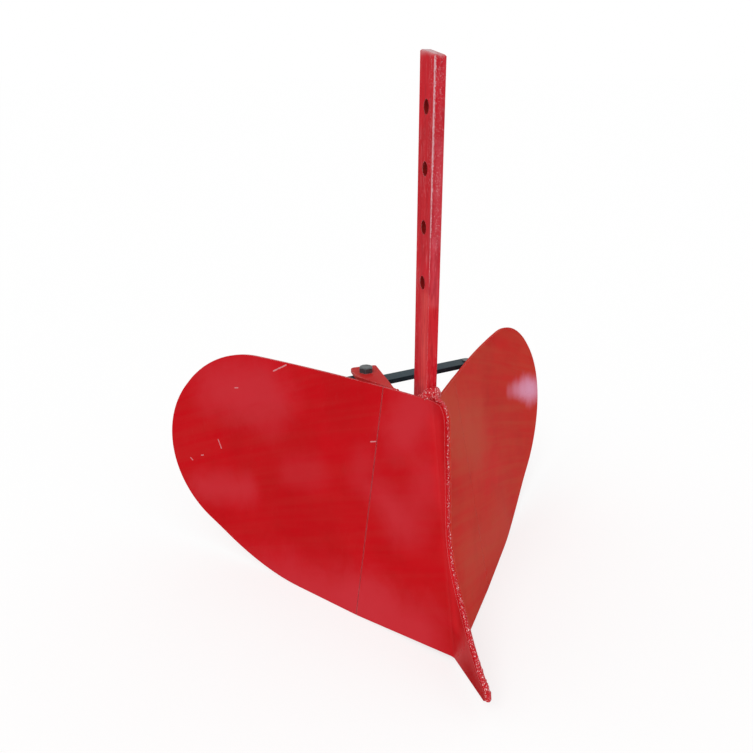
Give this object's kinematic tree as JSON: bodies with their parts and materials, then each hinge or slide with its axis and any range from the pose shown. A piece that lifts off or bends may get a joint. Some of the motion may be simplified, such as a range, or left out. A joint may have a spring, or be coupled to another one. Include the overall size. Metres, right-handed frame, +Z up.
{
  "type": "furrow opener",
  "caption": "Furrow opener for soil: an upright flat shank with bolt holes, a pointed keel-shaped nose, and curved wings hinged behind it whose spread a clamped link sets.",
  "frame": {"origin": "middle of the shank's top hole, in the shank's middle plane", "axes": "+Z up along the shank; -Y the way the tool travels, with the share's point at the front; +X to the tool's left, along the holes"},
  "size_m": [0.4774, 0.3863, 0.542],
  "materials": {
    "red_paint": "gloss red enamel, scratched",
    "shank_paint": "gloss red enamel, worn to bare steel at its edges and top",
    "dark_bar": "dark, slightly oiled mill finish",
    "fastener_steel": "blackened",
    "pin_steel": "plain turned"
  },
  "bodies": {
    "nose": {"shank": "shank_paint", "nose_rib": "red_paint", "nose_plate_left": "red_paint", "nose_plate_right": "red_paint", "nose_knuckle_top_left": "red_paint", "nose_knuckle_top_right": "red_paint", "nose_knuckle_bottom_left": "red_paint", "nose_knuckle_bottom_right": "red_paint", "hinge_pin_left": "pin_steel", "hinge_pin_right": "pin_steel", "adjuster_bracket": "red_paint", "clamp_bolt": "fastener_steel", "clamp_washer": "fastener_steel", "clamp_nut": "fastener_steel"},
    "wing_left": {"wing_left": "red_paint", "wing_knuckle_left": "red_paint", "wing_lug": "red_paint", "link_pin": "pin_steel"},
    "wing_right": {"wing_right": "red_paint", "wing_knuckle_right": "red_paint", "adjuster_arm": "dark_bar"},
    "link": {"adjuster_link": "dark_bar"}
  },
  "joints": [
    {"name": "wing_left_hinge", "type": "hinge", "parent": "nose", "child": "wing_left", "pos_m": [0.03135, 0.02057, -0.2679], "axis": [0.1549, -0.1186, -0.9808], "range_deg": [-7, 3]},
    {"name": "wing_right_hinge", "type": "hinge", "parent": "nose", "child": "wing_right", "pos_m": [-0.03135, 0.02057, -0.2679], "axis": [0.1549, 0.1186, 0.9808], "range_deg": [-7, 3]},
    {"name": "link_pivot", "type": "hinge", "parent": "wing_left", "child": "link", "pos_m": [0.08103, 0.0891, -0.2709], "axis": [0, 0, 1], "range_deg": [-3.6, 1.6]}
  ],
  "couplings": [
    {"joint": "link_pivot", "follows": "wing_left_hinge", "ratio": 0.49136}
  ]
}
